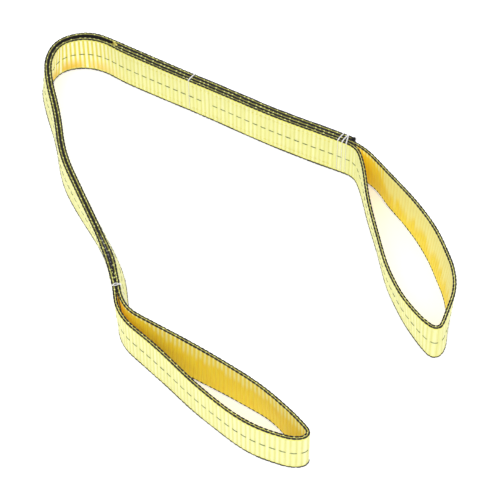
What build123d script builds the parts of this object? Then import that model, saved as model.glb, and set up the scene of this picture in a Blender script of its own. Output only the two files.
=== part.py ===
from build123d import *
import os
from math import atan2, cos, degrees, hypot, radians, sin, tan

# Flat eye-and-eye web sling, standing on one edge of its webbing. Millimetres, +Z up.
# The webbing is one long strip: it runs along the body, round the right eye, back into the body,
# and round the left eye, and its two ends lap in the splice. Two plies make the body, and three
# plies make the splice. Everything below is a plan outline carried straight up by the web width.

# Driving dimensions
WEB_WIDTH = 50.8
PLY_THICKNESS = 4.2
PLY_PITCH = 4.4
FLEX_GAP = 3.0              # from a flex line to the webbing on either side of it
CORD = 1.3                  # sewing cord of the tacks
THREAD = 0.8                # sewing thread of the rows
SKIN = 0.15                 # what is sewn on stands this far off the webbing
TAG_THICKNESS = 1.2
TAG_HEIGHT = 49.0
TAG_RIM = 3.0               # from the tag's edge to the thread round it
CORD_FOOT = 3.0             # how high the tacks' cords begin

# Where a ply lies across the strap. The seam line is the outer face of the inner ply.
INNER = 0.5 * PLY_PITCH
NEXT = -0.5 * PLY_PITCH
THIRD = -1.5 * PLY_PITCH

# Plan of the seam line, from the right throat, along the splice and round the bend
RIGHT_THROAT = (120.6, 115.0)
SPLICE_MIDDLE = (-35.4, 199.5)
BEND_CORNERS = [(-177.9, 286.0), (-212.8, 275.8), (-224.8, 244.6), (-220.4, 208.5)]
LEG_HIP = (-207.9, 156.4)
LEG_KNEE = (-199.1, 97.6)
LEG_ANKLE = (-140.2, -45.8)
LEFT_THROAT = (-129.8, -91.6)

# Plan of each eye's single ply, from the inner side of its throat round to the other side
RIGHT_EYE = [
    (119.5, 113.1), (130.3, 106.9), (135.9, 78.0), (139.6, 28.4), (156.8, -65.5),
    (171.4, -106.5), (189.1, -136.0), (200.1, -148.0), (207.1, -147.5), (225.7, -97.0),
    (225.2, -67.6), (210.5, -14.7), (189.5, 25.8), (138.7, 107.1), (121.7, 116.9),
]
LEFT_EYE = [
    (-132.0, -91.9), (-128.7, -119.1), (-117.6, -139.7), (-86.5, -170.3), (-43.3, -220.9),
    (-8.5, -254.5), (17.1, -272.4), (49.9, -285.0), (64.1, -285.0), (70.6, -278.5),
    (52.4, -255.7), (19.5, -221.4), (-38.5, -177.1), (-114.8, -125.0), (-124.9, -108.1),
    (-127.6, -91.3),
]

# Where each eye's two legs run into its nose, and the heading of the left eye's length
RIGHT_NOSE = (0.0, -111.0)
LEFT_NOSE = (28.6, -254.0)
LEFT_EYE_HEADING = -40.0
THROAT_REACH = 40.0         # how far past its flex line an eye's outline is cleared away

# How much of a straight run a rounded corner may use: an end run has one corner, others have two
END_RUN_SHARE = 0.95
RUN_SHARE = 0.48

# How far each flex line lies from a named point, and where the plies end
RIGHT_THROAT_FLEX = 5.5     # past the right throat
BEND_FLEX = 21.5            # before the first bend corner
LEG_FLEX = 26.5             # past the last bend corner
KNEE_FLEX = 70.0            # past the knee
LEFT_THROAT_FLEX = 6.0      # past the left throat
TAIL_END = 40.0             # the middle ply's cut end, before the first bend corner
STEP_START = 38.0           # the outer ply steps in over the cut end
STEP_END = 27.0
STEP_RADII = [12.0, 6.0]
CUT_END = 1.5               # the outer ply's cut end, past the right throat
SPLICE_RADIUS = 3000.0      # the splice's slight sag

# Places along the splice, from the right throat
THROAT_TACKS = [(11.7, 0.0), (4.6, 0.0), (0.6, 1.8)]   # place, and how far the outer side leads
START_TACK = 204.5
TAG_SPAN = (14.0, 199.0)
INNER_ROWS = [(16.0, 200.0), (209.0, 296.0)]
OUTER_ROWS = [(209.0, 296.0)]
ROW_INSET = 8.0             # from each edge of the webbing to the row of thread beside it
ROW_HEIGHTS = (ROW_INSET, WEB_WIDTH - ROW_INSET)

# Places of the left throat's two tacks, past the throat
LEFT_TACKS = [-1.9, 1.9]


def unit(start, end):
    """The direction from one plan point to another."""
    length = hypot(end[0] - start[0], end[1] - start[1])
    return ((end[0] - start[0]) / length, (end[1] - start[1]) / length)


def along(start, end, distance, side=0.0):
    """The point that far from start towards end, and that far to the left of the way."""
    ux, uy = unit(start, end)
    return (start[0] + distance * ux - side * uy, start[1] + distance * uy + side * ux)


def turn(before, corner, after):
    """The left turn at a corner, in radians."""
    ax, ay = unit(before, corner)
    bx, by = unit(corner, after)
    return atan2(ax * by - ay * bx, ax * bx + ay * by)


def bend_radii(points):
    """The largest radius that each corner's two runs allow; end runs have only one corner."""
    radii = []
    last = len(points) - 1
    for i in range(1, last):
        share_in = END_RUN_SHARE if i == 1 else RUN_SHARE
        share_out = END_RUN_SHARE if i == last - 1 else RUN_SHARE
        run_in = hypot(points[i][0] - points[i - 1][0], points[i][1] - points[i - 1][1])
        run_out = hypot(points[i + 1][0] - points[i][0], points[i + 1][1] - points[i][1])
        angle = turn(points[i - 1], points[i], points[i + 1])
        radii.append(min(share_in * run_in, share_out * run_out) / tan(abs(angle) / 2))
    return radii


def parallel(points, side, own_radii=None):
    """The points and radii of the line that runs that far to the left of a rounded line."""
    shifted = [along(points[0], points[1], 0.0, side)]
    radii = []
    for i, radius in enumerate(own_radii or bend_radii(points), start=1):
        angle = turn(points[i - 1], points[i], points[i + 1])
        ax, ay = unit(points[i - 1], points[i])
        reach = side * tan(angle / 2)
        shifted.append((points[i][0] - side * ay - reach * ax, points[i][1] + side * ax - reach * ay))
        radii.append(radius - side if angle > 0 else radius + side)
    length = hypot(points[-1][0] - points[-2][0], points[-1][1] - points[-2][1])
    shifted.append(along(points[-2], points[-1], length, side))
    return shifted, radii


def strip(points, side=0.0, radii=None, thickness=PLY_THICKNESS, low=0.0, high=WEB_WIDTH):
    """A strip of the given thickness standing along a rounded line, or beside it."""
    line, radii = parallel(points, side, radii)
    path = FilletPolyline(*line, radius=radii) if radii else Polyline(*line)
    face = trace(path, thickness)
    return Pos(0, 0, low) * extrude(face, high - low, dir=(0, 0, 1))


def flex_points():
    """The five flex lines in plan, by the name of the joint that turns about each."""
    first_corner, last_corner = BEND_CORNERS[0], BEND_CORNERS[-1]
    throat_out = along(RIGHT_THROAT, SPLICE_MIDDLE, -RIGHT_THROAT_FLEX)
    left_out = along(LEFT_THROAT, LEG_ANKLE, -LEFT_THROAT_FLEX)
    return {
        "right_eye_swing": throat_out,
        "splice_bend_flex": along(first_corner, SPLICE_MIDDLE, BEND_FLEX),
        "bend_leg_flex": along(last_corner, LEG_HIP, LEG_FLEX),
        "mid_leg_flex": along(LEG_KNEE, LEG_ANKLE, KNEE_FLEX),
        "left_eye_swing": left_out,
    }


FLEX = flex_points()


def body_stretches():
    """The seam line of each stretch of the body, cut back from the flex lines."""
    first_corner, last_corner = BEND_CORNERS[0], BEND_CORNERS[-1]
    throat = along(FLEX["right_eye_swing"], RIGHT_THROAT, FLEX_GAP)
    splice_end = along(FLEX["splice_bend_flex"], SPLICE_MIDDLE, FLEX_GAP)
    bend_start = along(FLEX["splice_bend_flex"], first_corner, FLEX_GAP)
    bend_end = along(FLEX["bend_leg_flex"], last_corner, FLEX_GAP)
    upper_start = along(FLEX["bend_leg_flex"], LEG_HIP, FLEX_GAP)
    upper_end = along(FLEX["mid_leg_flex"], LEG_KNEE, FLEX_GAP)
    lower_start = along(FLEX["mid_leg_flex"], LEG_ANKLE, FLEX_GAP)
    lower_end = along(FLEX["left_eye_swing"], LEFT_THROAT, FLEX_GAP)
    return {
        "splice": [throat, SPLICE_MIDDLE, splice_end],
        "bend": [bend_start, *BEND_CORNERS, bend_end],
        "upper_leg": [upper_start, LEG_HIP, LEG_KNEE, upper_end],
        "lower_leg": [lower_start, LEG_ANKLE, lower_end],
    }


STRETCH = body_stretches()


def splice_spot(distance):
    """The seam line's point that far along the splice from the right throat, and one just past it."""
    seam = FilletPolyline(*STRETCH["splice"], radius=[SPLICE_RADIUS])
    start = RIGHT_THROAT_FLEX - FLEX_GAP
    point, ahead = (
        seam.position_at(start + distance + step, position_mode=PositionMode.LENGTH) for step in (0.0, 1.0)
    )
    return (point.X, point.Y), (ahead.X, ahead.Y)


def splice_patch(span, side, thickness, low, high):
    """A strip laid beside the splice, between two places along it."""
    first, last = splice_spot(span[0])[0], splice_spot(span[1])[0]
    length = hypot(last[0] - first[0], last[1] - first[1])
    heading = degrees(atan2(last[1] - first[1], last[0] - first[0]))
    middle = along(first, last, 0.5 * length)
    reach = Pos(*middle, 0.5 * WEB_WIDTH) * Rot(0, 0, heading) * Box(length, WEB_WIDTH, 2 * WEB_WIDTH)
    whole = strip(STRETCH["splice"], side, [SPLICE_RADIUS], thickness, low, high)
    return (whole & reach).solids()[0]


def splice_plies():
    """The three plies of the splice: the whole inner one, and the strip's two lapped ends."""
    first_corner = BEND_CORNERS[0]
    throat, _, flex_end = STRETCH["splice"]
    tail_end = along(first_corner, SPLICE_MIDDLE, TAIL_END)
    cut_end = along(RIGHT_THROAT, SPLICE_MIDDLE, -CUT_END)
    # the outer ply steps in from the third place to the second, past the middle ply's end
    step_start = along(first_corner, SPLICE_MIDDLE, STEP_START)
    outer_line, outer_radii = parallel([cut_end, SPLICE_MIDDLE, step_start], THIRD, [SPLICE_RADIUS])
    outer_line.append(along(first_corner, SPLICE_MIDDLE, STEP_END, -NEXT))
    outer_line.append(along(flex_end, SPLICE_MIDDLE, 0.0, -NEXT))
    outer_radii += STEP_RADII
    outer_path = FilletPolyline(*outer_line, radius=outer_radii)
    return {
        "splice_inner_ply": strip([throat, SPLICE_MIDDLE, flex_end], INNER, [SPLICE_RADIUS]),
        "splice_middle_ply": strip([throat, SPLICE_MIDDLE, tail_end], NEXT, [SPLICE_RADIUS]),
        "splice_outer_ply": extrude(trace(outer_path, PLY_THICKNESS), WEB_WIDTH, dir=(0, 0, 1)),
    }


def body_plies():
    """The two plies of the bend and of both halves of the leg."""
    plies = {}
    for name in ("bend", "upper_leg", "lower_leg"):
        plies[f"{name}_inner_ply"] = strip(STRETCH[name], INNER)
        plies[f"{name}_outer_ply"] = strip(STRETCH[name], NEXT)
    return plies


def throat_cutter(flex, throat):
    """A block that takes away an eye's webbing behind its flex line and the gap."""
    middle = along(flex, throat, 0.5 * THROAT_REACH - FLEX_GAP)
    ux, uy = unit(flex, throat)
    block = Box(THROAT_REACH, 2 * THROAT_REACH, 2 * WEB_WIDTH)
    return Pos(middle[0], middle[1], 0.5 * WEB_WIDTH) * Rot(0, 0, degrees(atan2(uy, ux))) * block


def eye_stretches(side, outline, throat, nose_plane, front_first):
    """One eye's loop, split where its two legs run into the nose."""
    loop = strip(outline) - throat_cutter(FLEX[f"{side}_eye_swing"], throat)
    legs = split(loop, bisect_by=nose_plane, keep=Keep.TOP).solids().sort_by(front_first)
    nose = split(loop, bisect_by=nose_plane, keep=Keep.BOTTOM).solids()[0]
    return {f"{side}_eye_front_leg": legs[0], f"{side}_eye_back_leg": legs[-1], f"{side}_eye_nose": nose}


def right_eye():
    """The right eye hangs down the plan, so a level plane splits it."""
    nose_plane = Plane(origin=(*RIGHT_NOSE, 0), x_dir=(1, 0, 0), z_dir=(0, 1, 0))
    return eye_stretches("right", RIGHT_EYE, RIGHT_THROAT, nose_plane, Axis.X)


def left_eye():
    """The left eye lies aslant, so the plane that splits it is square to its length."""
    away = radians(LEFT_EYE_HEADING)
    across, back = (sin(away), -cos(away), 0), (-cos(away), -sin(away), 0)
    nose_plane = Plane(origin=(*LEFT_NOSE, 0), x_dir=across, z_dir=back)
    return eye_stretches("left", LEFT_EYE, LEFT_THROAT, nose_plane, Axis.Y)


def cord_loop(point, ahead, outer_face, lead=0.0):
    """A cord sewn round the strap: up the inner face, over the top edge and down the outer face.

    The point is on the seam line, the strap runs on towards the one ahead, and the cord's outer side
    stands that lead further along it.
    """
    inner_face = INNER + 0.5 * PLY_THICKNESS
    near = along(point, ahead, 0.0, inner_face + SKIN + 0.5 * CORD)
    far = along(point, ahead, lead, outer_face - SKIN - 0.5 * CORD)
    heading = degrees(atan2(far[1] - near[1], far[0] - near[0]))
    span = hypot(far[0] - near[0], far[1] - near[1]) + CORD
    middle = along(near, far, 0.5 * (span - CORD))
    upright = Box(CORD, CORD, WEB_WIDTH - CORD_FOOT, align=(Align.CENTER, Align.CENTER, Align.MIN))
    loop = Pos(*middle, WEB_WIDTH + 0.5 * CORD) * Rot(0, 0, heading) * Box(span, CORD, CORD)
    for x, y in (near, far):
        loop += Pos(x, y, CORD_FOOT) * Rot(0, 0, heading) * upright
    return loop.solids()[0]


def tacks():
    """The cords that lash the plies together at both ends of the splice and at the left throat."""
    three_plies = THIRD - 0.5 * PLY_THICKNESS
    two_plies = NEXT - 0.5 * PLY_THICKNESS
    throat_tacks = [cord_loop(*splice_spot(place), three_plies, lead) for place, lead in THROAT_TACKS]
    left_tacks = []
    for place in LEFT_TACKS:
        point = along(LEFT_THROAT, LEG_ANKLE, -place)
        left_tacks.append(cord_loop(point, along(point, LEG_ANKLE, -1.0), two_plies))
    return {
        "splice_start_tack": cord_loop(*splice_spot(START_TACK), three_plies),
        "right_throat_tacks": Compound(throat_tacks),
        "left_throat_tacks": Compound(left_tacks),
    }


def identity_tag():
    """The tag on the splice's outer face, and the thread sewn round it just inside its rim."""
    tag_side = THIRD - 0.5 * PLY_THICKNESS - SKIN - 0.5 * TAG_THICKNESS
    thread_side = tag_side - 0.5 * TAG_THICKNESS - SKIN - 0.5 * THREAD
    low = 0.5 * (WEB_WIDTH - TAG_HEIGHT)
    high = low + TAG_HEIGHT
    rim = [(TAG_SPAN[0] + inset, TAG_SPAN[1] - inset, low + inset, high - inset)
           for inset in (TAG_RIM, TAG_RIM + THREAD)]
    outline, hole = (
        splice_patch((start, end), thread_side, THREAD, bottom, top) for start, end, bottom, top in rim
    )
    return {
        "id_tag": splice_patch(TAG_SPAN, tag_side, TAG_THICKNESS, low, high),
        "tag_stitching": (outline - hole).solids()[0],
    }


def splice_stitching():
    """The long rows of thread that sew the splice's plies together, near both edges."""
    inner_side = INNER + 0.5 * PLY_THICKNESS + SKIN + 0.5 * THREAD
    outer_side = THIRD - 0.5 * PLY_THICKNESS - SKIN - 0.5 * THREAD
    rows = []
    for side, spans in ((inner_side, INNER_ROWS), (outer_side, OUTER_ROWS)):
        for span in spans:
            for height in ROW_HEIGHTS:
                low = height - 0.5 * THREAD
                rows.append(splice_patch(span, side, THREAD, low, low + THREAD))
    return {"splice_stitching": Compound(rows)}


def main():
    """Writes one STEP file for each node."""
    nodes = {}
    nodes.update(splice_plies())
    nodes.update(body_plies())
    nodes.update(right_eye())
    nodes.update(left_eye())
    nodes.update(tacks())
    nodes.update(identity_tag())
    nodes.update(splice_stitching())
    os.makedirs("parts", exist_ok=True)
    for name, shape in nodes.items():
        export_step(shape, f"parts/{name}.step")
    for name, (x, y) in FLEX.items():
        print(f"{name} pivot {x:.2f} {y:.2f}")


main()
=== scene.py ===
from math import pi

import bpy
import numpy as np
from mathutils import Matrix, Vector


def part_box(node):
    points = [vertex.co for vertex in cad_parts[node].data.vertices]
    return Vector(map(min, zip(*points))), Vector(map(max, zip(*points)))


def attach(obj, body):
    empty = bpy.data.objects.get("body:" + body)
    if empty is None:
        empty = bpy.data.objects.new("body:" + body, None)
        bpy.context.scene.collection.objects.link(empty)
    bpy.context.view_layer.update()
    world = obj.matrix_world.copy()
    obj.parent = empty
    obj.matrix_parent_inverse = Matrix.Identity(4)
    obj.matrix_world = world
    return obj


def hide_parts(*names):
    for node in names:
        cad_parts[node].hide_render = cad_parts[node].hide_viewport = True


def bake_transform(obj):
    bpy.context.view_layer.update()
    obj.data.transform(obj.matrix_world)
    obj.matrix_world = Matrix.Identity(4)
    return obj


# Looks for the flat eye-and-eye web sling. The whole sling is one strip of webbing, so everything on
# it is built in strap coordinates, in millimetres: how far along the strip, how far to the left of its
# middle, and how high. A strap point is then laid on the strip's plan, and turned into metres.

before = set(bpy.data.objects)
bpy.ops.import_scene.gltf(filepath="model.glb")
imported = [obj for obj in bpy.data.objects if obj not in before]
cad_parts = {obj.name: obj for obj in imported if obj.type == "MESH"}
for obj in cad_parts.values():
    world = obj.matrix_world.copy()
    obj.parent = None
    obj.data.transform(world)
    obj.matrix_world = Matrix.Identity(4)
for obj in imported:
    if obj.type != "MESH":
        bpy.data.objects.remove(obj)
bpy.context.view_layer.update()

MM = 0.001
RNG = np.random.default_rng(7)

# Sizes from the frame
WIDTH = (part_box("splice_inner_ply")[1][2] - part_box("splice_inner_ply")[0][2]) / MM

# The webbing
PLY = 4.2                    # thickness over the ribs
PLY_PITCH = 4.4
RIB = 5.36                   # from rib to rib
RIB_DEPTH = 0.42
SAMPLES = 8                  # columns of mesh for each rib
INNER, NEXT, THIRD = 0.5 * PLY_PITCH, -0.5 * PLY_PITCH, -1.5 * PLY_PITCH
SAGS = [(2.0, 88.0, 50.0), (1.0, 500.0, 95.0)]  # how far the seam sags inwards, where, over what length
SWELL = 1.9                  # how far the inner ply stands off above the left throat
SWELL_PLACE = 39.0           # how far from the throat it does
SWELL_SPREAD = 21.0          # and over what length
DIP = 2.0                    # how far it dips towards the outer ply past the middle ply's end
DIP_PLACE = 10.0             # how far past that end it does
DIP_SPREAD = 15.0            # and over what length
STEP = 0.5                   # spacing of the plan line's points
SMOOTHING = 4.0              # how far the cloth evens out the plan's curvature
CORNER_POINTS = 25           # points of the plan line in each corner's bend
END_RUN_SHARE = 0.95         # how much of a run at a plan's end its one corner may bend
RUN_SHARE = 0.48             # and how much of any other run each of its two corners may bend
PARTS_TRIM = 4.0             # taken from each part of the plan where the next one joins it

# The webbing's mesh and yarns
SELVAGE = 1.8                # the height of the smooth strip of cloth along each edge
ROWS = 20                    # rows of mesh on each face
NARROW_FACES = (0.95, 0.9)   # how far the narrow faces lie inside the edges: at their rims, in the middle
YARN_HEIGHTS = (1.35, WIDTH - 1.05)
YARN_SIDE = 1.22             # how far the edge yarns' middles stand from the webbing's middle
YARN_SIDES = 10              # of the edge yarns' mesh
YARN_UNEVEN = 0.09           # how unevenly thick they are
YARN_PINCH = 0.32            # how much of its thickness a yarn between two plies loses
YARN_PULL = 0.25             # how far it is pulled into the gap between them
SWELL_THICKER = 0.42         # how much thicker it is where they stand apart
SWELL_ASIDE = 0.6            # and how much further into the gap it lies
FLECK_HEIGHTS = (0.62, WIDTH - 0.6)
FLECK_LENGTHS = (1.0, 1.6)   # the range of the weft turns' half lengths
FLECK_WIDTHS = (0.65, 1.0)   # and of their half widths
FLECK_RISE = 0.62            # half their height
EXTRA_FLECKS = 0.3           # the share of the odd ribs that show a weft turn too
TRACER_HALF = (3.5, 0.42, 0.64)
WANDER_SLOW, WANDER_FAST = 0.12, 0.1  # how far the cloth wanders aside in long and in short waves
EYE_ONSET = 12.0             # how far from a throat the eye's painted colours set in fully
THROAT_SPREAD = 34.0         # how far the deeper painted gold and the painted glow reach from a throat
PALE_SCALE = 60.0            # millimetres of pale cloth for a pale reach of 1
# The edge yarns' least radius, and how much more it is where they float over a rib: by whether they
# are at the lower edge, and by side
YARN_RADII = {
    (False, -1): (0.5, 0.55),
    (False, 1): (0.5, 0.52),
    (True, -1): (0.9, 0.5),
    (True, 1): (0.7, 0.45),
}

# The sewing
TACK_THICK = 0.8             # the radius of the tacks' cord over the upper edge
TACK_THIN = 0.36             # and where it is pulled into a groove
TACK_PROUD = 0.5             # how far it stands off the faces at the edge
TACK_HEIGHTS = (4.0, 16.0, 32.0, WIDTH - 2.5)
TACK_FOOT = 3.0              # where it goes into the cloth
CORD_STEP = 0.4              # spacing of the rings of a cord's mesh
CORD_SIDES = 12              # and the points of each ring
CORD_SMOOTHING = 0.7         # how far a cord rounds its turns
CORD_TWIST = 1.7             # the length of half a twist
START_TACK = 204.5           # the splice start tack, along the seam from the right throat
THROAT_TACKS = [(11.7, 0.0), (4.6, -0.8), (0.8, 2.0)]  # place, and how far the outer side leads
LEFT_TACK = 1.2              # the left throat's tack, before the seam's end
RING_THICK = 0.56            # the radius of its cord over the upper edge
RING_PROUD = -0.4            # how far it stands off the faces at the edge: it cuts in
RING_BOW = 2.2               # how far each of its two turns bows aside
RING_SHIFT = 3.0             # how much nearer to the eye it crosses the edge
TAG_SPAN = (14.0, 199.0)     # the tag's ends, along the seam
TAG_LOW = 0.9                # its rim above the lower edge
TAG_OFF = 0.62               # its middle's distance from the webbing
TAG_HALF = 0.25              # half its thickness
TAG_ROWS = 26
TAG_COLUMNS = 150
TAG_INSET = 3.0              # from its rim to the stitches
TAG_PITCH = 3.6              # from stitch to stitch
TAG_STITCH = 2.7             # and each one's length
INNER_ROWS = [(16.0, 200.0), (209.0, 296.0)]  # the ends of the rows of thread, along the seam
OUTER_ROWS = [(209.0, 296.0)]
ROW_INSET = 8.0              # from each edge of the webbing to a row of thread
STITCH = 3.9                 # a stitch's length in those rows
STITCH_HALF = 0.42           # half a stitch's width
STITCH_LIFT = 0.3            # and how far it stands off the cloth

# Plan of the seam line between the two plies of the body, as in the CAD model
RIGHT_THROAT = (120.6, 115.0)
SPLICE_MIDDLE = (-35.4, 199.5)
BEND_CORNERS = [(-177.9, 286.0), (-212.8, 275.8), (-224.8, 244.6), (-220.4, 208.5)]
LEG_HIP = (-207.9, 156.4)
LEG_KNEE = (-199.1, 97.6)
LEG_ANKLE = (-140.2, -45.8)
LEFT_THROAT = (-129.8, -91.6)
SEAM = [RIGHT_THROAT, SPLICE_MIDDLE, *BEND_CORNERS, LEG_HIP, LEG_KNEE, LEG_ANKLE, LEFT_THROAT]

# Plan of the eyes' top edge; the CAD model's outline runs at half height, where the strap leans
RIGHT_EYE = [
    (119.5, 113.1), (130.3, 106.9), (135.9, 78.0), (138.6, 28.4), (154.3, -65.5),
    (168.9, -106.5), (188.1, -136.0), (200.1, -148.0), (207.1, -147.5), (225.7, -97.0),
    (225.7, -67.6), (211.5, -14.7), (190.7, 26.2), (137.9, 105.9), (121.7, 116.9),
]
LEFT_EYE = [
    (-132.0, -91.9), (-128.7, -119.1), (-117.6, -139.7), (-86.5, -170.3), (-43.3, -220.9),
    (-8.5, -254.5), (17.1, -272.4), (49.9, -285.0), (64.1, -285.0), (70.6, -278.5),
    (52.9, -254.7), (20.5, -219.9), (-37.5, -175.6), (-114.8, -125.0), (-124.9, -108.1),
    (-127.6, -91.3),
]


def unit(vector):
    """The vector at length 1."""
    return vector / np.linalg.norm(vector)


def rounded(points):
    """The plan line through the middles of the runs, with a round bend at each corner."""
    points = np.array(points, float)
    last = len(points) - 1
    line = [points[0]]
    t = np.linspace(0, 1, CORNER_POINTS)[:, None]
    for i in range(1, last):
        run_in = points[i] - points[i - 1]
        run_out = points[i + 1] - points[i]
        share_in = END_RUN_SHARE if i == 1 else RUN_SHARE
        share_out = END_RUN_SHARE if i == last - 1 else RUN_SHARE
        reach = min(share_in * np.linalg.norm(run_in), share_out * np.linalg.norm(run_out))
        start = points[i] - reach * unit(run_in)
        end = points[i] + reach * unit(run_out)
        line.extend((1 - t) ** 2 * start + 2 * t * (1 - t) * points[i] + t ** 2 * end)
    line.append(points[-1])
    return np.array(line)


def lengths(line):
    """How far along the line each of its points lies."""
    return np.concatenate([[0.0], np.cumsum(np.linalg.norm(np.diff(line, axis=0), axis=1))])


def even(line, step=STEP):
    """The line again, with evenly spaced points."""
    s = lengths(line)
    places = np.linspace(0.0, s[-1], int(s[-1] / step) + 1)
    return np.stack([np.interp(places, s, line[:, k]) for k in range(line.shape[1])], axis=1)


def smooth(line, spread, step=STEP):
    """The evenly spaced line, averaged along itself over that spread; its ends stay."""
    reach = int(3 * spread / step)
    weights = np.exp(-0.5 * (np.arange(-reach, reach + 1) * step / spread) ** 2)
    weights /= weights.sum()
    before = 2 * line[0] - line[reach:0:-1]
    after = 2 * line[-1] - line[-2:-reach - 2:-1]
    padded = np.vstack([before, line, after])
    columns = [np.convolve(padded[:, k], weights, "valid") for k in range(line.shape[1])]
    return np.stack(columns, axis=1)


def left_of(line):
    """The direction to the left of the line's way, at each of its points."""
    way = np.gradient(line, axis=0)
    way /= np.linalg.norm(way, axis=1)[:, None]
    return np.stack([-way[:, 1], way[:, 0]], axis=1)


def nearest(line, point):
    """The index of the line's point that is nearest to the given one."""
    return int(np.argmin(np.linalg.norm(line - np.array(point), axis=1)))


def ease(t):
    """A smooth step from 0 to 1."""
    t = np.clip(t, 0, 1)
    return t * t * (3 - 2 * t)


def hill(values, middle, spread, power=2):
    """1 at the middle value, falling to 0 on both sides of it over that spread."""
    return np.exp(-np.abs((values - middle) / spread) ** power)


def sagged(line):
    """The seam line with its splice and its upper leg set a little towards the inner side."""
    place = lengths(line)
    aside = sum(amount * hill(place, middle, spread) for amount, middle, spread in SAGS)
    return line + left_of(line) * aside[:, None]


SEAM_LINE = sagged(smooth(even(rounded(SEAM)), SMOOTHING))
SEAM_LEFT = left_of(SEAM_LINE)
SEAM_AT = lengths(SEAM_LINE)
SEAM_LENGTH = SEAM_AT[-1]
BEND_START = SEAM_AT[nearest(SEAM_LINE, BEND_CORNERS[0])]
TAIL_END = BEND_START - 35.0         # the middle ply's cut end
STEP_START = BEND_START - 35.0       # where the outer ply starts to come in over it
STEP_END = BEND_START + 85.0
CUT_END = -4.0                       # the outer ply's cut end, just past the right throat


def beside_seam(side):
    """The line that runs that far to the left of the seam; side may change along it."""
    return SEAM_LINE + SEAM_LEFT * np.broadcast_to(side, SEAM_AT.shape)[:, None]


def outer_side():
    """How far to the left of the seam the outer ply runs: past the middle ply's end it comes in."""
    return THIRD + (NEXT - THIRD) * ease((SEAM_AT - STEP_START) / (STEP_END - STEP_START))


def inner_side():
    """How far to the left of the seam the inner ply runs: it swells out above the left throat."""
    dip = DIP * hill(SEAM_AT, TAIL_END + DIP_PLACE, DIP_SPREAD)
    return INNER + SWELL * hill(SEAM_AT, SEAM_LENGTH - SWELL_PLACE, SWELL_SPREAD) - dip


def strip_line():
    """The plan of the whole strip, from its cut end at the right throat to its tucked-in other end."""
    trim = int(PARTS_TRIM / STEP)
    outer = beside_seam(outer_side())
    start = outer[0] + unit(outer[0] - outer[trim]) * -CUT_END
    inner = beside_seam(inner_side())[::-1]
    tail = beside_seam(NEXT)[:nearest(SEAM_AT[:, None], (TAIL_END,))]
    left_eye = even(rounded(LEFT_EYE))
    right_eye = even(rounded(RIGHT_EYE))
    parts = [start[None], outer[:-trim], left_eye[trim:-trim], inner[trim:-trim],
             right_eye[trim:-trim], tail[trim:]]
    return smooth(even(np.vstack(parts)), SMOOTHING)


LINE = strip_line()
LINE_AT = lengths(LINE)
LINE_LEFT = left_of(LINE)
LENGTH = LINE_AT[-1]


def at(point, after=0.0):
    """How far along the strip its point nearest to the given plan point lies, past a given place."""
    skip = int(np.searchsorted(LINE_AT, after))
    return LINE_AT[skip + nearest(LINE[skip:], point)]


# Places along the strip, in the order in which it passes them
OUTER_BEND = at(beside_seam(NEXT)[nearest(SEAM_LINE, BEND_CORNERS[2])])
OUTER_HIP = at(beside_seam(NEXT)[nearest(SEAM_LINE, LEG_HIP)])
OUTER_ANKLE = at(beside_seam(NEXT)[nearest(SEAM_LINE, LEG_ANKLE)])
LEFT_EYE_IN = at(LEFT_EYE[0])
LEFT_NOSE = at(LEFT_EYE[8])
LEFT_EYE_OUT = at(LEFT_EYE[-1], LEFT_NOSE)
INNER_ANKLE = at(beside_seam(INNER)[nearest(SEAM_LINE, LEG_ANKLE)], LEFT_NOSE)
INNER_HIP = at(beside_seam(INNER)[nearest(SEAM_LINE, LEG_HIP)], LEFT_NOSE)
INNER_BEND = at(beside_seam(INNER)[nearest(SEAM_LINE, BEND_CORNERS[2])], LEFT_NOSE)
INNER_SPLICE = at(beside_seam(INNER)[nearest(SEAM_LINE, SPLICE_MIDDLE)], LEFT_NOSE)
RIGHT_EYE_IN = at(RIGHT_EYE[0], INNER_SPLICE)
RIGHT_NOSE = at(RIGHT_EYE[7], INNER_SPLICE)
RIGHT_EYE_OUT = at(RIGHT_EYE[-1], RIGHT_NOSE)

# Where the cloth has lost its weft turns, and how far to both sides
BARE = [(0.0, 9.0), (RIGHT_EYE_OUT, 9.0), (RIGHT_EYE_IN - 2.0, 7.0)]

# Plan points at which single plies lean
LEFT_EYE_SIDE = (-85.0, -170.0)
LEFT_EYE_TURN = (-20.0, -243.0)
LOW_ON_LEG = (-143.0, -52.0)
HIGH_ON_LEG = (-160.0, 20.0)

# Where the plies lean together: how far their lower edge stands towards the seam's left, where along
# the seam, and over what length
SEAM_LEANS = [
    (1.4, 35.0, 40.0),
    (-1.0, 200.0, 50.0),
    (-6.2, 395.0, 38.0),
    (-2.4, 450.0, 45.0),
    (9.0, 679.0, 66.0),
]


def ply_places(place):
    """The strip's places on the outer, the inner and the middle ply at a place along the seam."""
    i = int(np.searchsorted(SEAM_AT, place))
    outer = at(beside_seam(outer_side())[i])
    inner = at(beside_seam(inner_side())[i], LEFT_NOSE)
    return outer, inner, at(beside_seam(NEXT)[i], RIGHT_NOSE)


SWELL_OUTER, SWELL_INNER, _ = ply_places(SEAM_LENGTH - SWELL_PLACE)


def swell_at(s):
    """1 where the plies stand apart above the left throat and their edge yarns fill the gap."""
    middle = np.where(s < LEFT_NOSE, SWELL_OUTER, SWELL_INNER)
    return hill(s, middle, SWELL_SPREAD)


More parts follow.
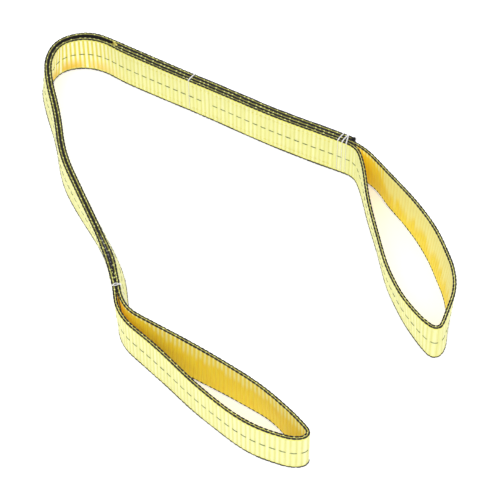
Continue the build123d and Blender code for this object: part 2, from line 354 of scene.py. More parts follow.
def all_leans():
    """How far the strap's lower edge stands to the strip's left, where, and over what length."""
    leans = [
        (2.6, LEFT_EYE_IN + 8.0, 26.0),
        (-0.8, at(LEFT_EYE_SIDE), 25.0),
        (1.2, at(LEFT_EYE_TURN), 32.0),
        (-3.0, LEFT_NOSE + 65.0, 25.0),
        (5.0, LEFT_EYE_OUT - 104.0, 52.0),
        (-4.0, LEFT_EYE_OUT, 26.0),
        (-3.4, at(LOW_ON_LEG, LEFT_NOSE), 40.0),
        (-4.0, at(HIGH_ON_LEG, LEFT_NOSE), 60.0),
        (7.0, RIGHT_NOSE - 160.0, 68.0),
        (6.5, RIGHT_NOSE - 62.0, 55.0),
        (-4.5, RIGHT_NOSE + 16.0, 20.0),
        (5.3, RIGHT_NOSE + 108.0, 78.0),
        (-3.2, RIGHT_EYE_OUT - 45.0, 20.0),
    ]
    for amount, place, spread in SEAM_LEANS:
        outer, inner, middle = ply_places(place)
        leans += [(amount, outer, spread), (-amount, inner, spread)]
        if place < TAIL_END:
            leans.append((amount, middle, spread))
    return leans


LEAN = sum(amount * hill(LINE_AT, place, spread) for amount, place, spread in all_leans())


def lay(s, n, z):
    """Strap coordinates laid in place, in metres: along, to the left and up."""
    s, n, z = np.broadcast_arrays(s, n, z)
    left = [np.interp(s, LINE_AT, LINE_LEFT[:, k]) for k in range(2)]
    norm = np.hypot(*left)
    aside = n + np.interp(s, LINE_AT, LEAN) * (1 - z / WIDTH)
    xy = [np.interp(s, LINE_AT, LINE[:, k]) + left[k] / norm * aside for k in range(2)]
    # past the strip's ends, straight on
    over = np.clip(s - LENGTH, 0, None) + np.clip(s, None, 0)
    xy = [xy[0] + over * left[1] / norm, xy[1] - over * left[0] / norm]
    return np.stack([xy[0], xy[1], z], axis=-1) * MM


def mesh_object(name, vertices, faces, material, extras=None):
    """A mesh object with smooth faces; extras are attributes with three numbers for each vertex."""
    mesh = bpy.data.meshes.new(name)
    mesh.from_pydata(np.asarray(vertices).reshape(-1, 3).tolist(), [], faces)
    mesh.polygons.foreach_set("use_smooth", [True] * len(mesh.polygons))
    for key, values in (extras or {}).items():
        layer = mesh.attributes.new(key, "FLOAT_VECTOR", "POINT")
        layer.data.foreach_set("vector", np.asarray(values, np.float32).ravel())
    mesh.materials.append(material)
    mesh.update()
    piece = bpy.data.objects.new(name, mesh)
    bpy.context.collection.objects.link(piece)
    return piece


def tube_faces(rings, sides, first=0):
    """The faces of a closed tube of rings, with a cap at each end."""
    faces = []
    for i in range(rings - 1):
        a = first + i * sides
        for j in range(sides):
            k = (j + 1) % sides
            faces.append((a + j, a + k, a + sides + k, a + sides + j))
    faces.append(tuple(first + j for j in reversed(range(sides))))
    faces.append(tuple(first + (rings - 1) * sides + j for j in range(sides)))
    return faces


class Bundle:
    """Strap-coordinate geometry gathered into one mesh."""

    def __init__(self):
        self.points = []
        self.faces = []
        self.count = 0

    def rings(self, s, n, z):
        """Adds a closed tube; each argument is an array of rings by sides."""
        s, n, z = np.broadcast_arrays(s, n, z)
        self.faces += tube_faces(s.shape[0], s.shape[1], self.count)
        self.points.append(np.stack([s, n, z], axis=-1).reshape(-1, 3))
        self.count += s.size

    def bead(self, s, n, z, half, sides=8, bands=6):
        """Adds a small rounded grain; half holds its three half sizes."""
        angle = np.linspace(0, 2 * pi, sides, endpoint=False)[None, :]
        polar = np.linspace(0.12, pi - 0.12, bands)[:, None]
        self.rings(s - half[0] * np.cos(polar) + 0 * angle, n + half[1] * np.sin(polar) * np.cos(angle),
                   z + half[2] * np.sin(polar) * np.sin(angle))

    def finish(self, name, material, extras=None):
        """The bundle as an object in place."""
        points = np.vstack(self.points)
        values = {"strap": points}
        values.update(extras(points) if extras else {})
        return mesh_object(name, lay(*points.T), self.faces, material, values)


def nodes_of(material):
    """The material's node tree, emptied, with its shader and output."""
    material.use_nodes = True
    tree = material.node_tree
    tree.nodes.clear()
    shader = tree.nodes.new("ShaderNodeBsdfPrincipled")
    output = tree.nodes.new("ShaderNodeOutputMaterial")
    tree.links.new(shader.outputs["BSDF"], output.inputs["Surface"])
    return tree, shader


class Net:
    """Short ways to add nodes to a material."""

    def __init__(self, name, roughness, sheen=0.0, specular=0.35):
        self.material = bpy.data.materials.new(name)
        self.tree, self.shader = nodes_of(self.material)
        self.shader.inputs["Roughness"].default_value = roughness
        self.shader.inputs["Sheen Weight"].default_value = sheen
        self.shader.inputs["Sheen Roughness"].default_value = 0.45
        self.shader.inputs["Specular IOR Level"].default_value = specular

    def put(self, socket, value):
        """Sets an input to a number or colour, or links it."""
        if isinstance(value, bpy.types.NodeSocket):
            self.tree.links.new(value, socket)
        elif isinstance(value, tuple) and len(value) == 3 and socket.type == "RGBA":
            socket.default_value = (*value, 1.0)
        else:
            socket.default_value = value

    def attribute(self, name):
        """The three numbers of a vertex attribute, one socket each."""
        source = self.tree.nodes.new("ShaderNodeAttribute")
        source.attribute_name = name
        split = self.tree.nodes.new("ShaderNodeSeparateXYZ")
        self.tree.links.new(source.outputs["Vector"], split.inputs[0])
        return [split.outputs[k] for k in range(3)]

    def math(self, operation, a, b=0.0, c=0.0):
        """One math node."""
        node = self.tree.nodes.new("ShaderNodeMath")
        node.operation = operation
        for socket, value in zip(node.inputs, (a, b, c)):
            self.put(socket, value)
        return node.outputs[0]

    def times(self, a, b):
        """One value times the other."""
        return self.math("MULTIPLY", a, b)

    def plus(self, a, b):
        """One value plus the other."""
        return self.math("ADD", a, b)

    def minus(self, a, b):
        """The first value less the second."""
        return self.math("SUBTRACT", a, b)

    def times_plus(self, a, b, c):
        """The first value times the second, plus the third."""
        return self.math("MULTIPLY_ADD", a, b, c)

    def band(self, value, low, high):
        """0 below low, 1 above high and a smooth step between them."""
        node = self.tree.nodes.new("ShaderNodeMapRange")
        node.interpolation_type = "SMOOTHSTEP"
        self.put(node.inputs["Value"], value)
        node.inputs["From Min"].default_value = low
        node.inputs["From Max"].default_value = high
        return node.outputs["Result"]

    def mix(self, factor, a, b, blend="MIX"):
        """A mix of two colours."""
        node = self.tree.nodes.new("ShaderNodeMix")
        node.data_type = "RGBA"
        node.blend_type = blend
        self.put(node.inputs["Factor"], factor)
        self.put(node.inputs["A"], a)
        self.put(node.inputs["B"], b)
        return node.outputs["Result"]

    def white(self, vector):
        """A random number from 0 to 1 for each different vector."""
        node = self.tree.nodes.new("ShaderNodeTexWhiteNoise")
        node.noise_dimensions = "3D"
        self.put(node.inputs["Vector"], vector)
        return node.outputs["Value"]

    def vector(self, x, y, z):
        """A vector of three values."""
        node = self.tree.nodes.new("ShaderNodeCombineXYZ")
        for socket, value in zip(node.inputs, (x, y, z)):
            self.put(socket, value)
        return node.outputs[0]

    def noise(self, vector, scale, detail=2.0):
        """Noise from 0 to 1."""
        node = self.tree.nodes.new("ShaderNodeTexNoise")
        self.put(node.inputs["Vector"], vector)
        node.inputs["Scale"].default_value = scale
        node.inputs["Detail"].default_value = detail
        return node.outputs["Fac"]

    def bump(self, height, strength, distance):
        """Bump from a height, in metres of the given distance."""
        node = self.tree.nodes.new("ShaderNodeBump")
        node.inputs["Strength"].default_value = strength
        node.inputs["Distance"].default_value = distance
        self.put(node.inputs["Height"], height)
        self.tree.links.new(node.outputs["Normal"], self.shader.inputs["Normal"])

    def colour(self, value):
        """Sets the base colour."""
        self.put(self.shader.inputs["Base Color"], value)
        return self.material


def srgb(red, green, blue):
    """A colour of 0 to 255 screen values as linear light."""
    def linear(c):
        c /= 255
        return c / 12.92 if c <= 0.04045 else ((c + 0.055) / 1.055) ** 2.4
    return (linear(red), linear(green), linear(blue))


LEMON = srgb(228, 227, 149)
LEMON_DEEP = srgb(222, 220, 128)
PAINTED_RIB_HIGHLIGHT = srgb(241, 241, 198)
PEACH = srgb(240, 230, 200)
RIM = srgb(236, 233, 116)
# painted light in the hollow of the bend: highlights and bounce light
PAINTED_BEND_HIGHLIGHT = srgb(248, 247, 214)
PAINTED_BEND_BOUNCE = srgb(232, 220, 88)
PAINTED_BEND_BOUNCE_ORANGE = srgb(236, 198, 70)
# painted gold: bounce light and shade inside the eyes, deeper in the throats
PAINTED_GOLD = srgb(242, 213, 38)
PAINTED_GOLD_LIGHT = srgb(244, 228, 62)
PAINTED_THROAT_GOLD = srgb(250, 214, 50)
TOP_PALE = srgb(246, 242, 166)
# painted glow in the throats
PAINTED_THROAT_GLOW = srgb(124, 104, 8)
SOIL = srgb(236, 226, 160)
# dark: painted shade between the plies, and the black of the edge yarns over the narrow faces
PAINTED_SHADE_AND_SELVAGE_BLACK = srgb(40, 37, 24)


def webbing_material():
    """Ribbed polyester: pale lemon outside. Where the cloth faces itself inside an eye it is painted
    golden, standing in for bounce light and shade; painted light and shade also lie in the bend, the
    grooves and between the plies, with a painted glow in the throats.
    """
    net = Net("ribbed webbing", 0.62, sheen=0.12)
    s, _, z = net.attribute("strap")
    gold, deep, shut = net.attribute("painted_light")
    side, bend, pale_reach = net.attribute("zone")
    soft = net.band(pale_reach, 0.3, 0.4)
    rib_number = net.math("FLOOR", net.plus(net.math("DIVIDE", s, RIB), 0.5))
    chance = net.white(net.vector(rib_number, side, 0.0))
    odd = net.math("MODULO", net.math("ABSOLUTE", rib_number), 2.0)
    wash = net.noise(net.vector(net.times(s, 0.35), side, net.times(z, 0.11)), 1.0, 3.0)
    streak = net.noise(net.vector(net.times(s, 0.9), side, net.times(z, 0.05)), 1.0)
    ribs = net.math("ABSOLUTE", net.math("COSINE", net.times(s, pi / RIB)))
    gap = net.band(ribs, 0.42, 0.0)
    # warp yarns run along the strap and cross each rib in turn
    shift = net.times(rib_number, pi)
    yarn_wave = net.math("SINE", net.plus(net.times(z, 2 * pi / 1.9), shift))
    yarn = net.times_plus(yarn_wave, 0.5, 0.5)
    edge = net.minus(0.5 * WIDTH, net.math("ABSOLUTE", net.minus(z, 0.5 * WIDTH)))
    rim = net.band(edge, 4.0, 2.4)
    crown = net.band(ribs, 0.6, 0.97)
    # the outside
    lemon = net.mix(net.times(odd, 0.35), LEMON, LEMON_DEEP)
    # painted highlight: the rib crowns lightened, by a random amount for each rib
    lemon = net.mix(net.times(crown, net.times_plus(chance, 0.5, 0.15)), lemon, PAINTED_RIB_HIGHLIGHT)
    lemon = net.mix(net.times(net.band(streak, 0.5, 0.75), 0.25), lemon, PEACH)
    lemon = net.mix(rim, lemon, RIM)
    # the inside of the bend, where cloth lights cloth: painted white highlights on the rib crowns, painted
    # yellow bounce light between them, painted orange towards the lower edge
    low = net.band(z, 0.45 * WIDTH, 0.1 * WIDTH)
    strong = net.mix(net.band(ribs, 0.55, 0.85), PAINTED_BEND_BOUNCE, PAINTED_BEND_HIGHLIGHT)
    strong = net.mix(net.times(low, net.band(chance, 0.1, 0.6)), strong, PAINTED_BEND_BOUNCE_ORANGE)
    lemon = net.mix(net.times(bend, net.band(edge, 2.0, 5.0)), lemon, strong)
    # the inside of an eye: painted golden bounce light and shade, deeper in the throats, giving way to
    # pale lemon for some way below the upper edge, rib by rib
    golden = net.mix(net.band(streak, 0.35, 0.7), PAINTED_GOLD, PAINTED_GOLD_LIGHT)
    golden = net.mix(deep, golden, PAINTED_THROAT_GOLD)
    uneven = net.times_plus(chance, 0.5, 0.7)
    reach = net.times_plus(pale_reach, net.times(uneven, PALE_SCALE), 1.5)
    from_top = net.math("DIVIDE", net.minus(net.minus(WIDTH, z), 2.0), reach)
    by_rib = net.math("MAXIMUM", net.times(soft, 0.85), net.times_plus(crown, 0.8, 0.2))
    top = net.times(net.band(from_top, 1.15, 0.55), by_rib)
    golden = net.mix(top, golden, TOP_PALE)
    colour = net.mix(gold, lemon, golden)
    # painted shade in the grooves between the ribs
    colour = net.mix(net.times(gap, 0.22), colour, srgb(214, 196, 92), "MULTIPLY")
    colour = net.mix(net.times(yarn, 0.08), colour, srgb(222, 212, 120), "MULTIPLY")
    colour = net.mix(net.times(net.band(wash, 0.45, 0.75), 0.10), colour, SOIL, "MULTIPLY")
    # painted shade on the faces shut between the plies
    colour = net.mix(shut, colour, PAINTED_SHADE_AND_SELVAGE_BLACK)
    # the black edge yarns close over the narrow faces
    colour = net.mix(net.band(edge, 0.9, 0.5), colour, PAINTED_SHADE_AND_SELVAGE_BLACK)
    fibre = net.noise(net.vector(net.times(s, 1.2), side, net.times(z, 5.0)), 1.0, 3.0)
    height = net.plus(net.times(yarn, 0.7), net.times(fibre, 0.5))
    net.bump(height, 0.5, 0.0003)
    # deep in a throat the cloth is given a painted glow, emitted, that stands in for light coming through
    # the cloth from both sides
    net.put(net.shader.inputs["Emission Color"], net.mix(deep, (0.0, 0.0, 0.0), PAINTED_THROAT_GLOW))
    net.shader.inputs["Emission Strength"].default_value = 1.0
    return net.colour(colour)


def yarn_material(name, dark, light, scale, roughness=0.6, sheen=0.1):
    """Twisted yarn of one colour, lighter and darker along its way."""
    net = Net(name, roughness, sheen=sheen)
    s, n, z = net.attribute("strap")
    place = net.vector(net.times(s, scale), n, net.times(z, scale))
    tint = net.noise(place, 1.0, 3.0)
    turns = net.plus(net.times(s, 2 * pi / 1.1), net.times(z, 2 * pi / 1.6))
    net.bump(net.math("SINE", turns), 0.4, 0.00012)
    return net.colour(net.mix(net.band(tint, 0.35, 0.7), srgb(*dark), srgb(*light)))


def tag_material():
    """Pale lavender satin with a fine plain weave."""
    net = Net("satin tag", 0.38, sheen=0.2, specular=0.5)
    s, n, z = net.attribute("strap")
    warp = net.math("SINE", net.times(s, 2 * pi / 0.7))
    weft = net.math("SINE", net.times(z, 2 * pi / 0.5))
    crease = net.noise(net.vector(net.times(s, 0.04), n, net.times(z, 0.02)), 1.0, 1.0)
    colour = net.mix(net.band(crease, 0.2, 0.8), srgb(202, 199, 218), srgb(214, 212, 227))
    hem = net.band(net.math("ABSOLUTE", net.minus(z, 0.5 * WIDTH)), 21.0, 21.6)
    colour = net.mix(net.times(hem, 0.5), colour, srgb(190, 186, 210))
    colour = net.mix(net.times_plus(warp, 0.06, 0.06), colour, srgb(176, 172, 200))
    net.bump(net.plus(net.times(warp, weft), net.times(crease, 2.0)), 0.4, 0.0001)
    return net.colour(colour)


WEBBING = webbing_material()
EDGE_YARN = yarn_material("black selvage yarn", (20, 18, 20), (52, 49, 52), 1.4, 0.65, 0.0)
FLECK = yarn_material("edge fleck yarn", (196, 200, 92), (255, 255, 172), 0.5)
TRACER = yarn_material("olive tracer yarn", (50, 74, 30), (98, 120, 56), 0.3)
CORD = yarn_material("white sewing cord", (224, 222, 224), (252, 252, 252), 0.8, 0.5)
THREAD = yarn_material("yellow sewing thread", (226, 214, 96), (244, 238, 158), 0.5, 0.45)
TAG_THREAD = yarn_material("pale sewing thread", (206, 204, 216), (240, 240, 246), 0.5, 0.45)
YARN_ENDS = yarn_material("loose lemon yarn", (232, 214, 80), (250, 240, 150), 0.5)
TAG = tag_material()


def columns(start, end):
    """Places along the strip at which the mesh has a column, from start to end."""
    first = int(round(start / RIB * SAMPLES))
    last = int(round(end / RIB * SAMPLES))
    return np.arange(first, last + 1) * RIB / SAMPLES


def groove(place):
    """The groove between two ribs that is nearest to a place."""
    return (np.round(place / RIB - 0.5) + 0.5) * RIB


def cross_section():
    """The webbing's outline across the strap, clockwise: side (-1 to 1), height, and how ribbed it is."""
    rows = np.linspace(SELVAGE, WIDTH - SELVAGE, ROWS)
    rim, middle = NARROW_FACES
    left = [(1.0, z, 1.0) for z in rows]
    top = [(0.75, WIDTH - rim, 0.2), (0.0, WIDTH - middle, 0.0), (-0.75, WIDTH - rim, 0.2)]
    right = [(-1.0, z, 1.0) for z in rows[::-1]]
    bottom = [(-0.75, rim, 0.2), (0.0, middle, 0.0), (0.75, rim, 0.2)]
    return np.array(left + top + right + bottom)


def inside_eyes(s):
    """1 where the strip goes round an eye, 0 along the body."""
    left = ease((s - LEFT_EYE_IN) / EYE_ONSET) * ease((LEFT_EYE_OUT - s) / EYE_ONSET)
    right = ease((s - RIGHT_EYE_IN) / EYE_ONSET) * ease((RIGHT_EYE_OUT - s) / EYE_ONSET)
    return np.maximum(left, right)


def throat_depth(s):
    """1 deep in an eye's throat, falling to 0 along the eye."""
    ends = (LEFT_EYE_IN, LEFT_EYE_OUT, RIGHT_EYE_IN, RIGHT_EYE_OUT)
    return np.max([hill(s, place, THROAT_SPREAD, 1.5) for place in ends], axis=0)


def hollow(s):
    """1 in the hollow of the body's bend, where cloth lights cloth."""
    return hill(s, INNER_BEND + 24.0, 66.0, 4)


def pale_reach(s):
    """How far below its upper edge the inside of an eye is pale, free of the painted gold, as a share of
    the pale scale.
    """
    left = 0.24 * ease((LEFT_EYE_OUT - 45.0 - s) / 50.0)
    right = 0.06 + 0.5 * ease((RIGHT_EYE_OUT - 35.0 - s) / 45.0)
    return np.where(s < INNER_SPLICE, left, right)


def tones(points):
    """How much painted gold, deeper painted throat gold and painted shade between the plies the webbing
    has, its side, and where it is.
    """
    s, n, _ = points.T
    left = ease(n / 0.8 + 0.5)
    inside = inside_eyes(s)
    # painted light and shade: gold on the faces inside an eye, deeper in a throat, and shade on the faces
    # shut between the plies
    gold = left * inside
    deep = gold * throat_depth(s)
    shut = left * (1 - inside)
    painted_light = np.stack([gold, deep, shut], axis=1)
    zone = np.stack([np.sign(n), (1 - left) * hollow(s), pale_reach(s)], axis=1)
    return {"painted_light": painted_light, "zone": zone}


def web(name, start, end):
    """A stretch of ribbed webbing."""
    s = columns(start, end)[:, None]
    side, height, ribbed = cross_section().T
    rib = np.sqrt(np.abs(np.cos(pi * s / RIB)))
    thick = 0.5 * PLY - RIB_DEPTH * (1 - rib) * ribbed
    wander = WANDER_SLOW * np.sin(s / 23.0 + height / 17.0) + WANDER_FAST * np.sin(s / 7.3)
    bundle = Bundle()
    bundle.rings(s + 0 * height, side * thick + wander * 0.5, height + 0 * s)
    return bundle.finish(name, WEBBING, tones)


def edge_yarns(name, start, end):
    """The two black yarns along each edge of the webbing."""
    s = columns(start, end)[:, None]
    angle = np.linspace(0, 2 * pi, YARN_SIDES, endpoint=False)[None, :]
    shut = 1 - inside_eyes(s)
    knots = np.arange(start - RIB, end + RIB, 0.5 * RIB)
    bundle = Bundle()
    for z in YARN_HEIGHTS:
        for side in (-1, 1):
            float_over = np.sqrt(np.abs(np.cos(pi * s / RIB + (0.5 * pi if side > 0 else 0))))
            uneven = 1 + np.interp(s, knots, RNG.normal(0, YARN_UNEVEN, len(knots)))
            low, more = YARN_RADII[(z < 0.5 * WIDTH, side)]
            radius = np.minimum((low + more * float_over) * uneven, low + more)
            middle = side * YARN_SIDE + np.zeros_like(s)
            if side > 0:
                radius = radius * (1 - YARN_PINCH * shut) + SWELL_THICKER * swell_at(s)
                middle = middle + YARN_PULL * shut + SWELL_ASIDE * swell_at(s)
            bundle.rings(s + 0 * angle, middle + radius * np.cos(angle), z + radius * np.sin(angle))
    return bundle.finish(name, EDGE_YARN)


def edge_flecks(name, start, end):
    """The yellow-green weft turns that show between the edge yarns, at every other rib and some more.

    Where the plies stand apart, smaller turns show in the gap between them too. The frayed cloth next
    to the right throat has lost its turns.
    """
    bundle = Bundle()
    first, last = int(np.ceil(start / RIB)), int(np.floor(end / RIB))
    for rib in range(first, last + 1):
        s = (rib + RNG.uniform(-0.06, 0.06)) * RIB
        if any(abs(s - place) < reach for place, reach in BARE):
            continue
        for z in FLECK_HEIGHTS:
            if rib % 2 and RNG.random() > EXTRA_FLECKS:
                continue
            half = (RNG.uniform(*FLECK_LENGTHS), RNG.uniform(*FLECK_WIDTHS), FLECK_RISE)
            bundle.bead(s, RNG.uniform(-0.05, 0.4), z, half)
            if swell_at(s) > 0.15:
                bundle.bead(s + RNG.uniform(-2.0, 2.0), RNG.uniform(1.4, 2.2), z - 0.1,
                            (RNG.uniform(0.7, 1.3), 0.5, FLECK_RISE))
    return bundle.finish(name, FLECK)


def tracer(name, start, end):
    """The tracer yarn down the middle of the strip's right face: it shows over every other rib."""
    bundle = Bundle()
    first, last = int(np.ceil((start + 3) / RIB)), int(np.floor((end - 3) / RIB))
    for rib in range(first + first % 2, last + 1, 2):
        bundle.bead(rib * RIB, -0.5 * PLY + 0.05, 0.5 * WIDTH, TRACER_HALF, 8, 10)
    return bundle.finish(name, TRACER)


def strand(name, start, end, nodes):
    """One stretch of the strip with all its yarns, across one joint."""
    start, end = groove(start), groove(end)
    pieces = [
        web(f"{name}_webbing", start, end),
        edge_yarns(f"{name}_edge_yarns", start, end),
        edge_flecks(f"{name}_edge_flecks", start, end),
        tracer(f"{name}_tracer", start, end),
    ]
    for piece in pieces:
        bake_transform(piece)
    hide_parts(*nodes)


def all_webbing():
    """The whole strip, in eight strands that each cross one joint."""
    strand("outer_splice", 0.0, OUTER_BEND,
           ["splice_outer_ply", "bend_outer_ply"])
    strand("outer_bend", OUTER_BEND, OUTER_HIP,
           ["upper_leg_outer_ply"])
    strand("outer_leg", OUTER_HIP, OUTER_ANKLE,
           ["lower_leg_outer_ply"])
    strand("left_eye", OUTER_ANKLE, INNER_ANKLE,
           ["left_eye_front_leg", "left_eye_nose", "left_eye_back_leg"])
    strand("inner_leg", INNER_ANKLE, INNER_HIP,
           ["lower_leg_inner_ply"])
    strand("inner_bend", INNER_HIP, INNER_BEND,
           ["upper_leg_inner_ply", "bend_inner_ply"])
    strand("inner_splice", INNER_BEND, INNER_SPLICE,
           ["splice_inner_ply"])
    strand("right_eye", INNER_SPLICE, LENGTH,
           ["right_eye_front_leg", "right_eye_nose", "right_eye_back_leg", "splice_middle_ply"])


def frames(path):
    """Two directions square to the path at each of its points, carried along it without a twist."""
    ways = np.gradient(path, axis=0)
    ways /= np.linalg.norm(ways, axis=1)[:, None]
    across = unit(np.cross(ways[0], (0.3, 0.9, 0.2)))
    sides = []
    for way in ways:
        across = unit(across - way * (across @ way))
        sides.append(across)
    sides = np.array(sides)
    return sides, np.cross(ways, sides)


def twisted_cord(points, radii):
    """A two-ply cord through the given points, in millimetres: its vertices, faces and coordinates."""
    line = np.column_stack([points, radii])
    line = smooth(even(line, CORD_STEP), CORD_SMOOTHING, CORD_STEP)
    path, radius = line[:, :3], line[:, 3:]
    along = lengths(path)[:, None]
    first, second = frames(path)
    angle = np.linspace(0, 2 * pi, CORD_SIDES, endpoint=False)[None, :]
    reach = radius * (0.72 + 0.28 * np.abs(np.cos(angle - along * pi / CORD_TWIST)))
    ring = path[:, None] + (reach * np.cos(angle))[..., None] * first[:, None]
    ring = ring + (reach * np.sin(angle))[..., None] * second[:, None]
    coordinates = np.stack(np.broadcast_arrays(along, 0 * angle, angle), axis=-1)
    return ring.reshape(-1, 3), tube_faces(len(path), CORD_SIDES), coordinates.reshape(-1, 3)


def cords(name, paths):
    """One object of several cords; each path is its points and the cord's radius at each."""
    vertices, faces, coordinates = [], [], []
    for points, radii in paths:
        ring, loops, strap = twisted_cord(points, radii)
        first = sum(len(part) for part in vertices)
        faces += [tuple(first + corner for corner in loop) for loop in loops]
        vertices.append(ring)
        coordinates.append(strap)
    return mesh_object(name, np.vstack(vertices) * MM, faces, CORD, {"strap": np.vstack(coordinates)})


def tack(place, lead=0.0, bow=0.0, thick=TACK_THICK, proud=TACK_PROUD, shift=0.0):
    """A cord round the plies: up a groove of the near face, over the upper edge, down the far face.

    It crosses the seam at that place, and its far side stands that lead further along. Its run over
    the edge bows that far aside, is that thick, stands that proud of the faces, and lies that shift
    nearer to the left eye.
    """
    inner = groove(ply_places(place)[1]) + 0.3 * bow
    outer = groove(ply_places(place + lead)[0]) - 0.3 * bow
    face = -0.5 * PLY + 0.05
    heights = np.array(TACK_HEIGHTS)
    up = lay(inner, face - 0.08, heights) / MM
    down = lay(outer, face - 0.08, heights)[::-1] / MM
    foot = lay(inner, face + 1.2, TACK_FOOT)[None] / MM
    end = lay(outer, face + 1.2, TACK_FOOT)[None] / MM
    over = np.linspace(0, 1, 7)[:, None]
    # the outer ply runs away from the right throat and the inner ply runs back to it
    start = lay(inner - shift, face - proud, WIDTH + 0.1) / MM
    stop = lay(outer + shift, face - proud, WIDTH + 0.1) / MM
    across = start + (stop - start) * over
    across[:, 2] += 1.0 * np.sin(pi * over[:, 0]) ** 0.5
    i = int(np.searchsorted(SEAM_AT, place))
    way = unit(np.array([*(SEAM_LINE[i - 3] - SEAM_LINE[i - 9]), 0.0]))
    across = across + way * bow * np.sin(pi * over)
    points = np.vstack([foot, up, across, down, end])
    thin = TACK_THIN * np.ones(len(up) + 1)
    return points, np.concatenate([thin, thick * np.ones(len(across)), thin])


def tag_grid(s, z):
    """How far the tag's middle stands from the strap's middle."""
    wave = 0.22 * np.sin(2 * pi * s / 47.0 + z / 19.0) + 0.12 * np.sin(2 * pi * s / 21.0 - z / 9.0)
    return -(0.5 * PLY + TAG_OFF + wave)


def tag_sheet(start, end):
    """The tag: a thin closed sheet with a rounded rim and slight waves."""
    s = np.linspace(start, end, TAG_COLUMNS)[:, None]
    low, high = TAG_LOW, WIDTH - TAG_LOW
    heights = np.linspace(low + 0.3, high - 0.3, TAG_ROWS)
    z = np.concatenate([heights, [high], heights[::-1], [low]])[None, :]
    face = np.full(TAG_ROWS, TAG_HALF)
    half = np.concatenate([face, [0.0], -face, [0.0]])[None, :]
    bundle = Bundle()
    bundle.rings(s + 0 * z, tag_grid(s, z) + half, z + 0 * s)
    return bundle.finish("id_tag_sheet", TAG)


def stitch_row(start, end, place, across, pitch, length):
    """The places and half sizes of a row of stitches along the strap, or of one that runs up it."""
    for middle in np.arange(start + 0.5 * pitch, end, pitch):
        s, z = (place, middle) if across else (middle, place)
        half = (0.5 * length, STITCH_LIFT, STITCH_HALF)
        yield s, z, half[::-1] if across else half


def tag_stitches(start, end):
    """Running stitches round the tag, just inside its rim."""
    bundle = Bundle()
    low, high = TAG_LOW + TAG_INSET, WIDTH - TAG_LOW - TAG_INSET
    near, far = start + TAG_INSET, end - TAG_INSET
    rows = [
        (near, far, low, False),
        (near, far, high, False),
        (low, high, near, True),
        (low, high, far, True),
    ]
    for first, last, place, across in rows:
        for s, z, half in stitch_row(first, last, place, across, TAG_PITCH, TAG_STITCH):
            bundle.bead(s, tag_grid(s, z) - STITCH_LIFT, z, half)
    return bundle.finish("tag_stitches", TAG_THREAD)


def splice_stitches():
    """The long rows of stitches that sew the splice's plies together, on both faces."""
    bundle = Bundle()
    # ply_places gives the outer ply first and the inner one second
    rows = [(1, *span) for span in INNER_ROWS] + [(0, *span) for span in OUTER_ROWS]
    for ply, first, last in rows:
        start, end = sorted((groove(ply_places(first)[ply]), groove(ply_places(last)[ply])))
        for height in (ROW_INSET, WIDTH - ROW_INSET):
            for s, z, half in stitch_row(start - 0.5 * RIB, end, height, False, RIB, STITCH):
                bundle.bead(s, -0.5 * PLY - 0.05, z + RNG.uniform(-0.15, 0.15), half)
    return bundle.finish("splice_stitches", THREAD)


def fibres(bundle, count, place, sides, heights, length, radius, lift):
    """Adds loose yarn ends that stand out past a cut end.

    The place is the cut and which way is out. The sides, heights, lengths, radii and lifts that follow
    it are ranges to draw from.
    """
    cut, out = place
    t = np.linspace(0, 1, 6)[:, None]
    angle = np.linspace(0, 2 * pi, 5, endpoint=False)[None, :]
    for _ in range(count):
        n, z = RNG.uniform(*sides), RNG.uniform(*heights)
        reach = RNG.uniform(*length)
        drift_n, drift_z = RNG.normal(0, 0.25) * reach, RNG.normal(0, 0.25) * reach + RNG.uniform(*lift)
        thick = RNG.uniform(*radius) * (1 - 0.5 * t)
        bundle.rings(cut + out * reach * (t - 0.15) + 0 * angle,
                     n + drift_n * t ** 2 + thick * np.cos(angle),
                     z + drift_z * t ** 2 + thick * np.sin(angle))


def cut_ends():
    """The frayed yarns at the outer ply's cut end and the tuft at the middle ply's."""
    black, lemon = Bundle(), Bundle()
    start, end = groove(0.0), groove(LENGTH)
    top, bottom, body = (WIDTH - 3.0, WIDTH - 0.3), (0.5, 2.6), (3.4, WIDTH - 3.6)
    tuft = (WIDTH - 1.6, WIDTH - 0.3)
    fibres(black, 80, (start, -1), (-2.0, 2.0), top, (2.2, 5.8), (0.26, 0.42), (-0.8, 1.2))
    fibres(black, 24, (start, -1), (-1.6, 1.6), bottom, (1.8, 4.0), (0.24, 0.36), (-0.2, 0.5))
    fibres(lemon, 90, (start, -1), (-1.6, 1.6), body, (0.8, 2.6), (0.16, 0.3), (-0.3, 0.3))
    fibres(lemon, 22, (end, 1), (-1.6, 0.6), tuft, (4.0, 7.5), (0.2, 0.32), (0.8, 2.4))
    return [black.finish("cut_end_black_yarns", EDGE_YARN), lemon.finish("cut_end_lemon_yarns", YARN_ENDS)]


def sewn(piece, body, slot, *nodes):
    """Puts a sewn piece on its body, in place of its CAD nodes. The slot is not used."""
    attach(piece, body)
    if nodes:
        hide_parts(*nodes)


def left_throat_ring(place):
    """The small ring of cord over the left throat: two turns that bow apart."""
    turns = [tack(place, bow=bow, thick=RING_THICK, proud=RING_PROUD, shift=RING_SHIFT)
             for bow in (RING_BOW, -RING_BOW)]
    return cords("left_throat_tack_cord", turns)


def left_throat_knot(place):
    """The ring's knot, against the inner ply's face."""
    knot = Bundle()
    inner = groove(ply_places(place)[1]) - RING_SHIFT
    for shift in (-0.7, 0.1, 0.9):
        knot.bead(inner + shift, -0.5 * PLY - 0.55, WIDTH - 0.6 - 0.5 * abs(shift), (0.8, 0.75, 0.9))
    return knot.finish("left_throat_knot", CORD)


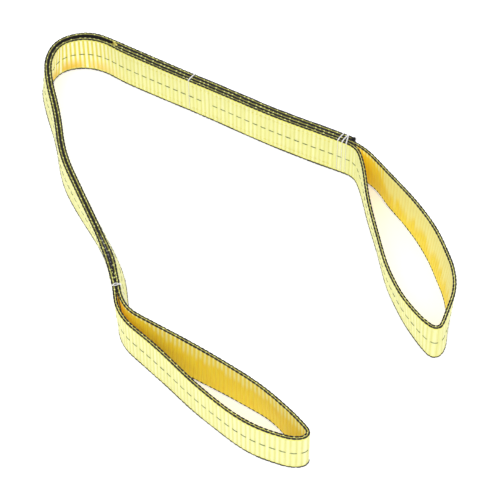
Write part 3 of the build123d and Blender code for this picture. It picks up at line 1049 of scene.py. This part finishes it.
def all_sewing():
    """The tacks, the tag, the stitching and the cut ends."""
    sewn(cords("splice_start_tack_cord", [tack(START_TACK)]), "splice", "cord", "splice_start_tack")
    throat_tacks = [tack(place, lead) for place, lead in THROAT_TACKS]
    sewn(cords("right_throat_tack_cords", throat_tacks), "splice", "cord", "right_throat_tacks")
    left = SEAM_LENGTH - LEFT_TACK
    sewn(left_throat_ring(left), "lower_leg", "cord", "left_throat_tacks")
    sewn(left_throat_knot(left), "lower_leg", "cord")
    tag_start, tag_end = ply_places(TAG_SPAN[0])[0], ply_places(TAG_SPAN[1])[0]
    sewn(tag_sheet(tag_start, tag_end), "splice", "tag", "id_tag")
    sewn(tag_stitches(tag_start, tag_end), "splice", "thread", "tag_stitching")
    sewn(splice_stitches(), "splice", "thread", "splice_stitching")
    for piece in cut_ends():
        sewn(piece, "splice", "webbing")


# The studio, in metres and watts
FLOOR = 6.0                  # half the floor's side
FLOOR_GAP = 0.0005           # how far it lies below the sling
FLOOR_COLOUR = (0.93, 0.93, 0.93)
FLOOR_GLOW = 0.42            # it glows a little, to come out white under soft light
SKY = 0.75
LAMPS = [("key", (-0.9, -1.6, 2.6), 1.6, 32.0), ("fill", (1.8, -0.6, 2.2), 2.0, 14.0)]
CAMERA_PLACE = (0.0106, -1.38293, 1.64380)
CAMERA_TILT = 40.05          # degrees up from straight down
FOCAL_LENGTH = 140.94        # millimetres, on a sensor 36 wide


def studio():
    """A pale floor under soft, even light."""
    floor_mesh = bpy.data.meshes.new("floor")
    corners = [(-FLOOR, -FLOOR, 0), (FLOOR, -FLOOR, 0), (FLOOR, FLOOR, 0), (-FLOOR, FLOOR, 0)]
    floor_mesh.from_pydata(corners, [], [(0, 1, 2, 3)])
    floor = bpy.data.objects.new("floor", floor_mesh)
    floor.location.z = -FLOOR_GAP
    bpy.context.collection.objects.link(floor)
    net = Net("floor", 0.9, specular=0.1)
    net.shader.inputs["Emission Color"].default_value = (1.0, 1.0, 1.0, 1.0)
    net.shader.inputs["Emission Strength"].default_value = FLOOR_GLOW
    floor_mesh.materials.append(net.colour(FLOOR_COLOUR))
    world = bpy.data.worlds.new("studio")
    world.use_nodes = True
    background = world.node_tree.nodes["Background"]
    background.inputs["Color"].default_value = (1.0, 1.0, 1.0, 1.0)
    background.inputs["Strength"].default_value = SKY
    bpy.context.scene.world = world
    for name, place, size, power in LAMPS:
        light = bpy.data.lights.new(name, "AREA")
        light.size = size
        light.energy = power
        lamp = bpy.data.objects.new(name, light)
        lamp.location = place
        lamp.rotation_euler = (-Vector(place)).to_track_quat("-Z", "Y").to_euler()
        bpy.context.collection.objects.link(lamp)


def camera():
    """The viewpoint: raised about 50 degrees, in front of the sling."""
    lens = bpy.data.cameras.new("camera")
    lens.sensor_width = 36.0
    lens.lens = FOCAL_LENGTH
    view = bpy.data.objects.new("camera", lens)
    view.location = CAMERA_PLACE
    view.rotation_euler = (np.radians(CAMERA_TILT), 0.0, 0.0)
    bpy.context.collection.objects.link(view)
    bpy.context.scene.camera = view


all_webbing()
all_sewing()
studio()
camera()
bpy.context.scene.view_settings.view_transform = "Standard"
